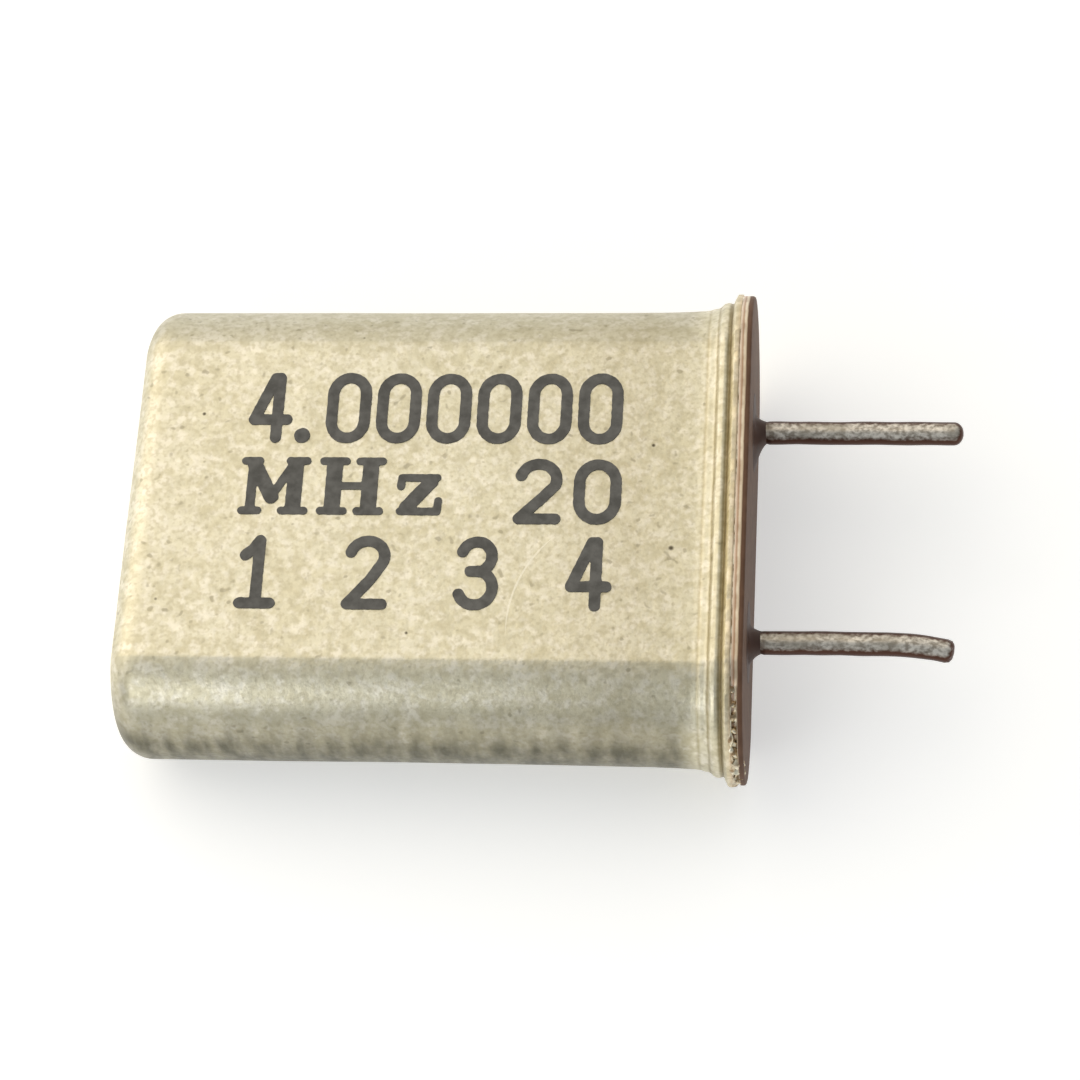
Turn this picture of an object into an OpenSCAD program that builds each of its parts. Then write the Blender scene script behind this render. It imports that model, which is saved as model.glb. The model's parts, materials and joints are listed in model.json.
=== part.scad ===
// Quartz crystal unit in a resistance-welded metal can with two wire leads.
// It lies on a broad side: +X runs out along the leads, +Z up, +Y across the can.
// The origin is the middle of the seating plane, halfway between the leads.

/* [Can] */
// Width of the can across its rounded sides
can_w = 10.2; // [9.4:0.1:11.5]
// Thickness of the can across its flat faces
can_t = 3.75; // [3.3:0.05:4.4]
// Height of the can from its open mouth to its closed end
can_h = 12.9; // [12.3:0.1:16]
// Thickness of the drawn sheet
can_wall = 0.25; // [0.15:0.05:0.35]
// How much the radius of the rounded sides exceeds half the can's thickness
side_excess = 0.065; // [0.03:0.005:0.3]
// Radius of the blend where a flat face meets a rounded side
crease_r = 0.7; // [0.65:0.05:1.2]
// Outside radius round the closed end
end_edge_r = 0.65; // [0.4:0.05:0.7]
// How far the welding flange stands out from the wall
flange_rim = 0.4; // [0.3:0.05:0.6]
// Thickness of the can's flange
can_flange_t = 0.35; // [0.2:0.05:0.5]
// Radius of the flare between wall and flange
flare_r = 0.3; // [0.1:0.05:0.35]

/* [Base] */
// Thickness of the base's flange
base_flange_t = 0.25; // [0.2:0.05:0.5]
// How far the base's flange stays back from the can's flange
base_setback = 0.04; // [0:0.02:0.1]
// Chamfer round the base's seating face
base_chamfer = 0.08; // [0.04:0.02:0.15]
// Height of the base's raised middle above its flange
boss_h = 0.9; // [0.6:0.1:1.3]
// Gap between the raised middle and the can's wall
boss_gap = 0.1; // [0.05:0.05:0.25]
// Chamfer round the top of the raised middle
boss_chamfer = 0.15; // [0.05:0.05:0.3]

/* [Leads and seals] */
// Distance between the leads' centres
lead_pitch = 4.88; // [4.5:0.02:5.2]
// Diameter of a tinned lead outside the glass
lead_d = 0.48; // [0.4:0.01:0.6]
// Length of a lead below the seating plane
lead_len = 4.45; // [3:0.05:13]
// Chamfer at a lead's cut tip
tip_chamfer = 0.1; // [0.05:0.05:0.15]
// Diameter of the head on a lead's inner end
head_d = 0.84; // [0.8:0.02:1]
// Thickness of that head
head_t = 0.25; // [0.15:0.05:0.4]
// Diameter of the glass bead round a lead
bead_d = 1.7; // [1.5:0.05:1.9]
// Radius of the glass fillet that climbs the lead
fillet_r = 0.27; // [0.15:0.01:0.3]

/* [Quartz blank] */
// Diameter of the blank
blank_d = 8; // [7:0.1:8.2]
// Thickness of the blank
blank_t = 0.46; // [0.3:0.02:0.6]
// Bevel round the blank's edge
blank_bevel = 0.06; // [0.02:0.02:0.1]
// Height of the blank's lower edge above the clips' feet
blank_lift = 0.85; // [0.5:0.05:1.2]
// Diameter of a metal electrode
electrode_d = 4.4; // [3:0.1:5]
// Width of the tab that joins an electrode to its clip
tab_w = 1.2; // [1.1:0.1:1.6]
// Thickness of an electrode
film_t = 0.02; // [0.01:0.01:0.03]

/* [Clips] */
// Thickness of a clip's strip
clip_t = 0.15; // [0.1:0.01:0.2]
// Width of a clip's strip
clip_w = 1.2; // [1:0.1:1.6]
// How far the blank's edge goes into a clip's slot
clip_grip = 0.1; // [0.05:0.01:0.12]
// Room round the blank in a clip's slot
slot_gap = 0.03; // [0.02:0.01:0.05]
// Length of strip above a clip's slot
slot_cap = 0.45; // [0.3:0.05:0.8]
// Radius of a dab of conductive cement
dab_r = 0.5; // [0.35:0.05:0.55]

/* [Marking] */
// Thickness of the printed ink
ink_t = 0.02; // [0.01:0.01:0.05]
// Width of a printed stroke
stroke_w = 0.22; // [0.14:0.02:0.3]
// Distance of the print's left edge from the seating plane
print_from = 10.7; // [10.3:0.1:11.5]
// Height of the first line's middle above the can's middle
print_mid = 2; // [1.8:0.05:2.2]
// Distance from one line to the next
line_drop = 1.9; // [1.8:0.02:2]
// Height of the figures
figure_h = 1.66; // [1.2:0.02:1.8]
// Width of the figures
figure_w = 0.94; // [0.7:0.02:1]
// Distance from one close-set figure to the next
figure_pitch = 1.07; // [1.02:0.01:1.1]
// Distance from one wide-set figure to the next
wide_pitch = 2.33; // [2:0.01:2.5]
// Height of the letters in the middle line
letter_h = 1.3; // [1:0.05:1.6]
// Width of the letters in the middle line
letter_w = 1.1; // [0.8:0.05:1.2]
// Distance from one letter to the next
letter_pitch = 1.55; // [1.5:0.05:1.6]
// Place of the middle line's second group from the print's left edge
group_at = 5.75; // [5.5:0.05:6]

/* [Hidden] */
$fn = 64;
near = -1;
far = 1;
past = 1;

// Section of the can: two flats, four narrow blends and two side arcs, all tangent
half_t = can_t / 2;
side_r = half_t + side_excess;
side_centre = can_w / 2 - side_r;
side_angle = asin((half_t - crease_r) / (side_r - crease_r));
flat_half = side_centre + (side_r - crease_r) * cos(side_angle);
blend_angle = 90 - side_angle;
reach = can_w + can_h;

// Heights above the seating plane
mouth_u = base_flange_t;
end_u = mouth_u + can_h;
boss_top = base_flange_t + boss_h;
head_top = boss_top + head_t;
blank_low = head_top + clip_t + blank_lift;
blank_mid = blank_low + blank_d / 2;

// Clips and their slots
clip_y = blank_d / 2 - clip_grip;
foot_from = lead_pitch / 2 - head_d / 2;
slot_h = blank_t + 2 * slot_gap;
slot_half = sqrt(pow(blank_d / 2, 2) - pow(clip_y, 2)) + slot_gap;
clip_top = blank_mid + slot_half + slot_cap;

// What lies outside an axis r inside the wall, moved so that the axis is at zero
module from_axis(r) {
    intersection() {
        translate([r, 0]) children();
        square(reach);
    }
}

// Turns a section about an axis that stands at [y, z], r inside the wall
module turned(y, z, r, start, angle) {
    translate([0, y, z]) rotate([0, -90, 0])
        rotate_extrude(start = start, angle = angle) from_axis(r) children();
}

// Carries a section, drawn as [distance out from the wall, height above the seating
// plane], along both flats, round the four blends and round both sides.
module round_the_can() {
    for (down = [0, 1]) mirror([0, 0, down]) {
        rotate([90, 0, 0]) rotate([0, 0, 90])
            linear_extrude(2 * flat_half, center = true) from_axis(half_t) children();
        for (side = [0, 1]) mirror([0, side, 0])
            turned(flat_half, half_t - crease_r, crease_r, 0, blend_angle) children();
    }
    for (side = [0, 1]) mirror([0, side, 0])
        turned(side_centre, 0, side_r, blend_angle, 2 * side_angle) children();
}

// Section of a blind cup from u0 to u1, its wall at s and its bottom corner rounded
module cup_section(s, u0, u1, corner_r) {
    difference() {
        translate([s - reach, u0]) square([reach, u1 - u0]);
        translate([s - corner_r, u1 - corner_r]) difference() {
            square(corner_r + past);
            circle(corner_r);
        }
    }
}

// Quarter of a hollow corner, r in radius
module hollow_corner(r) {
    difference() {
        square(r);
        translate([r, r]) circle(r);
    }
}

// Turns a shape about the X axis of a lead; heights in the shape run into the can
module on_lead(side) {
    translate([0, side * lead_pitch / 2, 0]) rotate([0, -90, 0]) children();
}

// Drawn shell: closed end, straight walls, and a flange flared out at the mouth
module can() {
    color([0.84, 0.80, 0.69])
        round_the_can() difference() {
            union() {
                cup_section(0, mouth_u, end_u, end_edge_r);
                translate([-can_wall, mouth_u])
                    square([can_wall + flange_rim, can_flange_t]);
                translate([0, mouth_u + can_flange_t]) hollow_corner(flare_r);
            }
            cup_section(-can_wall, mouth_u - past, end_u - can_wall,
                        end_edge_r - can_wall);
            translate([-can_wall, mouth_u]) hollow_corner(flare_r + can_wall);
        }
}

// Stamped base: a flange welded to the can's, and a raised middle that centres it
module base() {
    rim = flange_rim - base_setback;
    boss = -can_wall - boss_gap;
    color([0.45, 0.37, 0.30])
        difference() {
            round_the_can() polygon([
                [-reach, 0], [rim - base_chamfer, 0], [rim, base_chamfer],
                [rim, base_flange_t], [boss, base_flange_t],
                [boss, boss_top - boss_chamfer], [boss - boss_chamfer, boss_top],
                [-reach, boss_top]
            ]);
            for (side = [near, far])
                on_lead(side) translate([0, 0, -past])
                    cylinder(h = boss_top + 2 * past, d = bead_d);
        }
}

// Outside of a lead: a straight wire that swells to a head above the glass
module lead_form() {
    wire_r = lead_d / 2;
    head_r = head_d / 2;
    rotate_extrude() polygon([
        [0, -lead_len], [wire_r - tip_chamfer, -lead_len],
        [wire_r, tip_chamfer - lead_len], [wire_r, -fillet_r],
        [head_r, boss_top], [head_r, head_top], [0, head_top]
    ]);
}

module lead(side) {
    color([0.63, 0.60, 0.55]) on_lead(side) lead_form();
}

// Glass bead fused between base and lead, with a fillet up the lead outside
module glass_seal(side) {
    color([0.24, 0.16, 0.12])
        on_lead(side) difference() {
            union() {
                cylinder(h = boss_top, d = bead_d);
                rotate_extrude() mirror([0, 1]) union() {
                    square([lead_d / 2, fillet_r]);
                    translate([lead_d / 2, 0]) hollow_corner(fillet_r);
                }
            }
            lead_form();
        }
}

// Strip bent to an L: its foot is welded on a lead's head, its slot holds the blank
module clip(side) {
    color([0.75, 0.74, 0.70])
        mirror([0, side < 0 ? 1 : 0, 0]) difference() {
            union() {
                translate([-head_top - clip_t, foot_from, -clip_w / 2])
                    cube([clip_t, clip_y - foot_from, clip_w]);
                translate([-clip_top, clip_y, -clip_w / 2])
                    cube([clip_top - head_top, clip_t, clip_w]);
            }
            translate([-blank_mid - slot_half, clip_y - past, -slot_h / 2])
                cube([2 * slot_half, clip_t + 2 * past, slot_h]);
        }
}

// Round slice of quartz with bevelled edges
module quartz_blank() {
    r = blank_d / 2;
    color([0.88, 0.92, 0.93, 0.5])
        translate([-blank_mid, 0, 0]) rotate_extrude() polygon([
            [0, -blank_t / 2], [r - blank_bevel, -blank_t / 2],
            [r, blank_bevel - blank_t / 2], [r, blank_t / 2 - blank_bevel],
            [r - blank_bevel, blank_t / 2], [0, blank_t / 2]
        ]);
}

// Keyhole film on one face of the blank; its tab runs out to one clip
module electrode(side) {
    tab_end = clip_y - clip_t;
    color([0.80, 0.80, 0.78])
        mirror([0, side < 0 ? 1 : 0, 0]) mirror([0, 0, side < 0 ? 1 : 0])
            translate([-blank_mid, 0, blank_t / 2]) linear_extrude(film_t) {
                circle(d = electrode_d);
                translate([-tab_w / 2, 0]) square([tab_w, tab_end]);
            }
}

// Two dabs of conductive cement that tie the blank's faces to a clip
module cement(side) {
    upper = blank_t / 2 + (side > 0 ? film_t : 0);
    lower = blank_t / 2 + (side < 0 ? film_t : 0);
    color([0.62, 0.62, 0.60])
        translate([-blank_mid, side * clip_y, 0]) difference() {
            sphere(dab_r);
            translate([-past, side > 0 ? 0 : -past, -past]) cube([2 * past, past, 2 * past]);
            translate([-past, -past, -lower]) cube([2 * past, 2 * past, upper + lower]);
        }
}

// Plain figures as runs of points in a cell one unit wide and one unit high
ZERO = [[[0.3, 0], [0.7, 0], [1, 0.2], [1, 0.8], [0.7, 1], [0.3, 1], [0, 0.8], [0, 0.2], [0.3, 0]]];
ONE = [[[0.15, 0.78], [0.5, 1], [0.5, 0]], [[0.15, 0], [0.85, 0]]];
TWO = [[[0, 0.8], [0.3, 1], [0.7, 1], [1, 0.8], [1, 0.6], [0, 0], [1, 0]]];
THREE = [[[0, 1], [1, 1], [0.4, 0.58], [0.7, 0.58], [1, 0.4], [1, 0.2], [0.7, 0], [0.3, 0], [0, 0.15]]];
FOUR = [[[0.72, 0], [0.72, 1], [0, 0.3], [1, 0.3]]];
POINT = [[[0.5, 0], [0.5, 0.04]]];
BIG_M = [[[0, 0], [0, 1], [0.5, 0.35], [1, 1], [1, 0]]];
BIG_H = [[[0, 0], [0, 1]], [[1, 0], [1, 1]], [[0, 0.5], [1, 0.5]]];
SMALL_Z = [[[0, 0.62], [1, 0.62], [0, 0], [1, 0]]];

// Figures set one after another: [place, figure] pairs
function row_of(figures, from, step) =
    [for (i = [0 : len(figures) - 1]) [from + i * step, figures[i]]];

// Each line: height of its middle, size of its cells, its figures
point_at = 0.8 * figure_pitch;
LINES = [
    [print_mid, figure_w, figure_h,
     concat(row_of([FOUR, POINT], 0, point_at),
            row_of([for (i = [1 : 6]) ZERO], 2 * point_at, figure_pitch))],
    [print_mid - line_drop, letter_w, letter_h,
     concat(row_of([BIG_M, BIG_H, SMALL_Z], 0, letter_pitch),
            row_of([TWO, ZERO], group_at, letter_w + stroke_w / 2))],
    [print_mid - 2 * line_drop, figure_w, figure_h,
     row_of([ONE, TWO, THREE, FOUR], 0, wide_pitch)]
];

// Straight bars joining a run of points
module bars(points, w, h) {
    for (i = [0 : len(points) - 2]) {
        from = [points[i][0] * w, points[i][1] * h];
        way = [points[i + 1][0] * w, points[i + 1][1] * h] - from;
        translate(from) rotate(atan2(way[1], way[0]))
            translate([-stroke_w / 2, -stroke_w / 2])
                square([norm(way) + stroke_w, stroke_w]);
    }
}

// Printed figures on the upper flat face
module marking_ink() {
    color([0.25, 0.25, 0.25])
        translate([-print_from, 0, half_t]) linear_extrude(ink_t)
            for (line = LINES, mark = line[3], run = mark[1])
                translate([mark[0] + stroke_w / 2, line[0] - line[2] / 2 + stroke_w / 2])
                    bars(run, line[1] - stroke_w, line[2] - stroke_w);
}

can();
base();
glass_seal(near);  // glass_seal_near
glass_seal(far);  // glass_seal_far
lead(near);  // lead_near
lead(far);  // lead_far
clip(near);  // clip_near
clip(far);  // clip_far
quartz_blank();
electrode(far);  // electrode_upper
electrode(near);  // electrode_lower
cement(near);  // cement_near
cement(far);  // cement_far
marking_ink();
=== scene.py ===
import json
import math

import bmesh
import bpy
import numpy as np
from mathutils import Matrix, Vector, noise


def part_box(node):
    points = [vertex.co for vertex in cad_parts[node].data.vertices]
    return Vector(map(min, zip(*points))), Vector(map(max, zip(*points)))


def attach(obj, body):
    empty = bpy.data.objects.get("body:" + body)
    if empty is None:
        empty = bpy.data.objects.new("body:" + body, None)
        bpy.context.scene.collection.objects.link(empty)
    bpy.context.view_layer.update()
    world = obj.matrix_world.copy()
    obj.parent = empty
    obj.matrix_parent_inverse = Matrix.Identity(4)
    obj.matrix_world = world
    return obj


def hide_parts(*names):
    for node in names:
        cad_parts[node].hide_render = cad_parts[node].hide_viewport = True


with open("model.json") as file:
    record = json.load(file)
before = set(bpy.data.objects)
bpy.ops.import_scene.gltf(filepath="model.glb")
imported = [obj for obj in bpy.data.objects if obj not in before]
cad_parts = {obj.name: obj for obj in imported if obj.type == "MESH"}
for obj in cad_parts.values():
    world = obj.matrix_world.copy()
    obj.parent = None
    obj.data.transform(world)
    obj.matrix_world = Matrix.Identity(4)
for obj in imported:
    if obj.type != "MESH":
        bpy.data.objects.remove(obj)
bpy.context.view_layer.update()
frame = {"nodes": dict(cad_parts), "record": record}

# Lengths are in millimetres until a mesh is finished; the object itself is in metres
MM = 0.001


def corners(node):
    """Lowest and highest corner of a CAD node, in millimetres."""
    low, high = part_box(node)
    return low / MM, high / MM


# ---------------------------------------------------------------- sizes of the can and its base
CAN_LOW, CAN_HIGH = corners("can")
INK_LOW, INK_HIGH = corners("marking_ink")
HALF_T = INK_LOW.z
FLANGE_RIM = CAN_HIGH.z - HALF_T
# How much rounder the can's narrow sides are than half its thickness
SIDE_EXCESS = 0.065
SIDE_R = HALF_T + SIDE_EXCESS
SIDE_CENTRE = CAN_HIGH.y - FLANGE_RIM - SIDE_R
# The rounded crease between a flat and a side, and the least it shrinks to inside the wall
CREASE_R = 0.3
LEAST_CREASE_R = 0.01
# Heights (U) run from the seating plane towards the closed end, against the frame's X
MOUTH_U = -CAN_HIGH.x
END_U = -CAN_LOW.x
END_R = 0.65
WALL = 0.25
BASE_TOP = -corners("base")[0].x
BASE_SETBACK = 0.04
BASE_RIM = FLANGE_RIM - BASE_SETBACK
BEAD_R = (corners("glass_seal_far")[1].y - corners("glass_seal_far")[0].y) / 2

# Leads
LEAD_Y = {side: (corners("lead_" + side)[0].y + corners("lead_" + side)[1].y) / 2
          for side in ("near", "far")}
LEAD_TIP = corners("lead_far")[1].x
LEAD_BACK = corners("lead_far")[0].x
LEAD_R = next(m["dims"]["r_mm"] for m in frame["record"]["mounts"] if m["kind"] == "pin")
HEAD_R = (corners("lead_far")[1].y - corners("lead_far")[0].y) / 2
FILLET = 0.27

# ---------------------------------------------------------------- mesh code
SHARP_ANGLE = math.radians(38)
SAME_POINT = 0.0004


def arc(middle, radii, start, end, steps):
    """Points along part of an ellipse, from start to end in degrees."""
    turns = [math.radians(start + (end - start) * i / steps) for i in range(steps + 1)]
    return [(middle[0] + radii[0] * math.cos(t), middle[1] + radii[1] * math.sin(t)) for t in turns]


def skin(rings, wrap=False):
    """Mesh over rings of points, each closed on itself; wrap joins the last ring to the first."""
    bm = bmesh.new()
    rows = [[bm.verts.new(point) for point in ring] for ring in rings]
    pairs = list(zip(rows, rows[1:]))
    if wrap:
        pairs.append((rows[-1], rows[0]))
    for row, following in pairs:
        for i in range(len(row)):
            bm.faces.new((row[i - 1], row[i], following[i], following[i - 1]))
    return bm


def piece(name, bm, finish, slot, *replaced):
    """Finishes a mesh as a piece of the part, smooth but for its sharp edges."""
    bmesh.ops.remove_doubles(bm, verts=bm.verts, dist=SAME_POINT)
    bmesh.ops.recalc_face_normals(bm, faces=bm.faces)
    for edge in bm.edges:
        edge.smooth = len(edge.link_faces) == 2 and edge.calc_face_angle() < SHARP_ANGLE
    for face in bm.faces:
        face.smooth = True
    bmesh.ops.scale(bm, vec=(MM, MM, MM), verts=bm.verts)
    mesh = bpy.data.meshes.new(name)
    bm.to_mesh(mesh)
    bm.free()
    mesh.materials.append(finish)
    made = bpy.data.objects.new(name, mesh)
    bpy.context.scene.collection.objects.link(made)
    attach(made, "root")
    if replaced:
        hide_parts(*replaced)
    return made


# ---------------------------------------------------------------- section of the can
FLAT_STEPS = 30
CREASE_STEPS = 6
SIDE_STEPS = 34


def outline(out):
    """Points (y, z) and outward directions round the can, out from its wall."""
    half, side = HALF_T + out, SIDE_R + out
    crease = max(CREASE_R + out, LEAST_CREASE_R)
    turn = math.asin((half - crease) / (side - crease))
    flat = SIDE_CENTRE + (side - crease) * math.cos(turn)
    degrees = math.degrees(turn)
    quarter = [((flat * i / FLAT_STEPS, half), 90) for i in range(FLAT_STEPS)]
    for middle, radius, start, end, steps in (
            ((flat, half - crease), crease, 90, degrees, CREASE_STEPS),
            ((SIDE_CENTRE, 0), side, degrees, 0, SIDE_STEPS)):
        spots = arc(middle, (radius, radius), start, end, steps)
        quarter += [(spot, start + (end - start) * i / steps) for i, spot in enumerate(spots)]
    del quarter[FLAT_STEPS + CREASE_STEPS]
    right = quarter + [((y, -z), -way) for (y, z), way in reversed(quarter[:-1])]
    left = [((-y, z), 180 - way) for (y, z), way in reversed(right[1:-1])]
    return [(spot, (math.cos(math.radians(way)), math.sin(math.radians(way))))
            for spot, way in right + left]


def waviness(point, size, height):
    """Soft unevenness of a surface: bumps of that size and height, the same each time."""
    return height * noise.noise(point / size)


def section_rings(profile, uneven):
    """One ring round the can for each (out, height, share of the way to the middle line)."""
    rings = []
    for out, height, inward in profile:
        ring = []
        for (y, z), (along_y, along_z) in outline(out):
            middle_y = min(max(y, -SIDE_CENTRE), SIDE_CENTRE)
            point = Vector((-height, y + (middle_y - y) * inward, z * (1 - inward)))
            lift = uneven(point, out)
            if inward:
                point.x += abs(lift)
            else:
                point.y += along_y * lift
                point.z += along_z * lift
            ring.append(point)
        rings.append(ring)
    return rings


# ---------------------------------------------------------------- the drawn can
# The flare from the wall to the flange's rim: (height above the seating plane, out from the
# wall), with a first step, a pressed ridge and the groove beside the rim
FLARE = ((1.9, 0), (1.4, 0.012), (1.05, 0.03), (0.93, 0.045), (0.88, 0.07), (0.78, 0.085),
         (0.73, 0.105), (0.66, 0.18), (0.57, 0.205), (0.51, 0.19), (0.47, 0.172), (0.44, 0.21),
         (0.41, 0.31), (0.385, 0.37), (0.35, FLANGE_RIM))
FLARE_STEPS = 90
RIM_R = 0.03
# Flat left on the flange's face between the rim and the bend into the wall
RIM_FLAT = 0.1
WALL_STEPS = 30
# Where a section counts as flange and not as wall, out from the wall
FLANGE_FROM = 0.3


def flare_rows():
    """The flare as (out, height), its corners softened."""
    heights = np.linspace(FLARE[0][0], FLARE[-1][0], FLARE_STEPS)
    outs = np.interp(-heights, [-height for height, out in FLARE], [out for height, out in FLARE])
    outs[1:-1] = (outs[:-2] + 2 * outs[1:-1] + outs[2:]) / 4
    return [(float(out), float(height), 0) for out, height in zip(outs, heights)]


def can_profile():
    """Closed end, wall, flare and flange on the outside, then back up the inside."""
    across = [1, 0.8, 0.6, 0.4, 0.2, 0.1]
    outside = [(-END_R, END_U, share) for share in across]
    outside += [(out, height, 0) for out, height
                in arc((-END_R, END_U - END_R), (END_R, END_R), 90, 0, 12)]
    wall_from, wall_to = END_U - END_R, FLARE[0][0]
    outside += [(0, wall_from + (wall_to - wall_from) * i / WALL_STEPS, 0)
                for i in range(1, WALL_STEPS)]
    outside += flare_rows()
    outside += [(out, height, 0) for out, height
                in arc((FLANGE_RIM - RIM_R, MOUTH_U + RIM_R), (RIM_R, RIM_R), 0, -90, 4)]
    bend = FLANGE_RIM - RIM_FLAT + WALL
    inside = [(out, height, 0) for out, height
              in arc((FLANGE_RIM - RIM_FLAT, MOUTH_U + bend), (bend, bend), 270, 180, 8)]
    corner = END_R - WALL
    inside += [(out, height, 0) for out, height
               in arc((-END_R, END_U - END_R), (corner, corner), 0, 90, 6)]
    inside += [(-END_R, END_U - WALL, share) for share in reversed(across)]
    return outside, inside


def sheet_hollows(point):
    """Slight hollows of the drawn sheet."""
    return waviness(point, 3.2, 0.022)


def can_unevenness(point, out):
    """Hollows of the sheet, and the nibbled edge of the welded flange."""
    if out < FLANGE_FROM:
        return sheet_hollows(point)
    return -abs(waviness(point, 0.9, 0.03)) - abs(waviness(point, 0.22, 0.02))


def can_shell(finish):
    """The can: its outside and its inside, joined at the mouth."""
    outside, inside = can_profile()
    rings = section_rings(outside, can_unevenness) + section_rings(inside, lambda point, out: 0)
    return piece("can_shell", skin(rings), finish, "can_metal", "can")


# ---------------------------------------------------------------- the stamped base
HOLE_STEPS = 48
HOLE_CHAMFER = 0.01
BASE_EDGE_R = 0.05
BOSS_GAP = 0.1
BOSS_CHAMFER = 0.15
# The slot that the base's edge leaves at the near end: its depth, and the heights between
# which its floor steps in
SLOT_DEPTH = 0.11
SLOT_FOOT, SLOT_TOP = 0.115, 0.13
# Upward share of the outward direction where the near end's shoulder begins, and the change
# of it down to where the slot and the weld's lumps are full
SHOULDER = 0.92
SHOULDER_FADE = 0.25


def hole_rows(bm, y):
    """Rows of points down a hole for a glass bead, from the seating face to the boss's top."""
    rows = []
    for radius, height in ((BEAD_R + HOLE_CHAMFER, 0), (BEAD_R, HOLE_CHAMFER),
                           (BEAD_R, BASE_TOP - HOLE_CHAMFER), (BEAD_R + HOLE_CHAMFER, BASE_TOP)):
        rows.append([bm.verts.new((-height, y + b, a))
                     for a, b in arc((0, 0), (radius, radius), 0, 360, HOLE_STEPS)[:-1]])
    for row, following in zip(rows, rows[1:]):
        for i in range(HOLE_STEPS):
            bm.faces.new((row[i], row[i - 1], following[i - 1], following[i]))
    return rows


def loop_edges(bm, row):
    """The edges that join a closed row of points."""
    return [bm.edges.get((row[i - 1], row[i])) for i in range(len(row))]


def near_end_share(way_z):
    """Share from the near end's shoulder (0) down to its middle (1), by its outward direction."""
    return min(max((SHOULDER - way_z) / SHOULDER_FADE, 0), 1)


def base_unevenness(point, out):
    """Rolled edge of the base; at the near end it has drawn back from the can's flange."""
    lift = -abs(waviness(point, 0.6, 0.02))
    if point.y < -SIDE_CENTRE and out > 0 and -point.x > (SLOT_FOOT + SLOT_TOP) / 2:
        way_z = point.z / math.hypot(point.z, point.y + SIDE_CENTRE)
        lift -= SLOT_DEPTH * near_end_share(way_z)
    return lift


def base_header(finish):
    """Stamped base: flange, the boss that centres the can, and a hole for each glass bead."""
    middle = (BASE_RIM - BASE_EDGE_R, BASE_EDGE_R)
    boss = -WALL - BOSS_GAP
    profile = [(out, height, 0) for out, height
               in arc(middle, (BASE_EDGE_R, BASE_EDGE_R), 270, 360, 6)]
    profile += [(BASE_RIM, SLOT_FOOT, 0), (BASE_RIM, SLOT_TOP, 0), (BASE_RIM, MOUTH_U, 0),
                (boss, MOUTH_U, 0), (boss, BASE_TOP - BOSS_CHAMFER, 0),
                (boss - BOSS_CHAMFER, BASE_TOP, 0)]
    rings = section_rings(profile, base_unevenness)
    bm = skin(rings)
    bm.verts.ensure_lookup_table()
    count = len(rings[0])
    seat_row, boss_row = list(bm.verts)[:count], list(bm.verts)[-count:]
    for vert in seat_row:
        vert.co.x = 0
    seat_edges, boss_edges = loop_edges(bm, seat_row), loop_edges(bm, boss_row)
    for y in LEAD_Y.values():
        rows = hole_rows(bm, y)
        seat_edges += loop_edges(bm, rows[0])
        boss_edges += loop_edges(bm, rows[-1])
    for edges in (seat_edges, boss_edges):
        bmesh.ops.triangle_fill(bm, use_beauty=True, edges=edges)
    return piece("base_header", bm, finish, "base_metal", "base")


# ---------------------------------------------------------------- weld flash round the joint
# How deep the weld's metal sits in the base's edge
SUNK = 0.02
FLASH_OUT = BASE_RIM - SUNK
# The thread's least radius, and what a full lump adds to it
FLASH_LEAST = 0.02
FLASH_MOST = 0.1
# The row of spatter beads: how many, where it starts and how far it runs round the near end
# in degrees, its height, and a bead's least radius
SPATTER_BEADS = 13
SPATTER_FROM, SPATTER_RUN = 60, 92
SPATTER_HEIGHT = 0.2
SPATTER_LEAST = 0.05


def weld_flash(finish):
    """Thread of metal squeezed out between the flanges, in nuggets round the near end."""
    rings = []
    for (y, z), (along_y, along_z) in outline(FLASH_OUT):
        spot = Vector((0, y, z))
        lumpy = near_end_share(along_z) if along_y < 0 else 0.15 * noise.noise(spot / 1.3)
        lump = max(0, noise.noise(spot / 0.16) + 0.12)
        radius = FLASH_LEAST + FLASH_MOST * max(0, lumpy) * lump
        room = CAN_HIGH.y - SIDE_CENTRE - SIDE_R - FLASH_OUT
        radius = min(radius, max(FLASH_LEAST, room))
        rings.append([Vector((-MOUTH_U + a, y + along_y * b, z + along_z * b))
                      for a, b in arc((0, 0), (1.2 * radius, radius), 0, 360, 10)[:-1]])
    return piece("weld_flash", skin(rings, wrap=True), finish, "base_metal")


def weld_spatter(finish):
    """Small beads of metal thrown out of the weld at the near end."""
    bm = bmesh.new()
    for i in range(SPATTER_BEADS):
        turn = math.radians(SPATTER_FROM - SPATTER_RUN * i / (SPATTER_BEADS - 1))
        seed = Vector((0.37 * i, 2.1, 0.6))
        across = -SPATTER_HEIGHT - 0.14 * noise.noise(seed)
        radius = SPATTER_LEAST + 0.17 * abs(noise.noise(seed + Vector((5, 0, 0))))
        reach = SIDE_R + BASE_RIM - SUNK - 0.8 * radius
        middle = Vector((across, -SIDE_CENTRE - reach * math.cos(turn), reach * math.sin(turn)))
        bead = bmesh.ops.create_icosphere(bm, subdivisions=2, radius=radius)["verts"]
        for vert in bead:
            vert.co = middle + vert.co * (1 + 0.6 * noise.noise((middle + vert.co) / 0.08))
    return piece("weld_spatter", bm, finish, "base_metal")


# ---------------------------------------------------------------- leads and their glass
ROUND_STEPS = 36
WIRE_STEPS = 70
TIP_ROUND = 0.2
# The near lead's bend: where it starts, how fast it grows, and how much of it goes outward
BEND_FROM = 2.7
BEND_GROWTH = 0.055
BEND_OUTWARD = 0.8
# The near lead's nipped end: how much shorter it was cut, how far back the tear reaches, and
# what the tear takes off its middle as well
NIPPED_SHORTER = 0.12
TORN_BACK = 0.5
TORN_OFF = 0.08
# The coat of tin on the bare wire
TIN = 0.01
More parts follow.
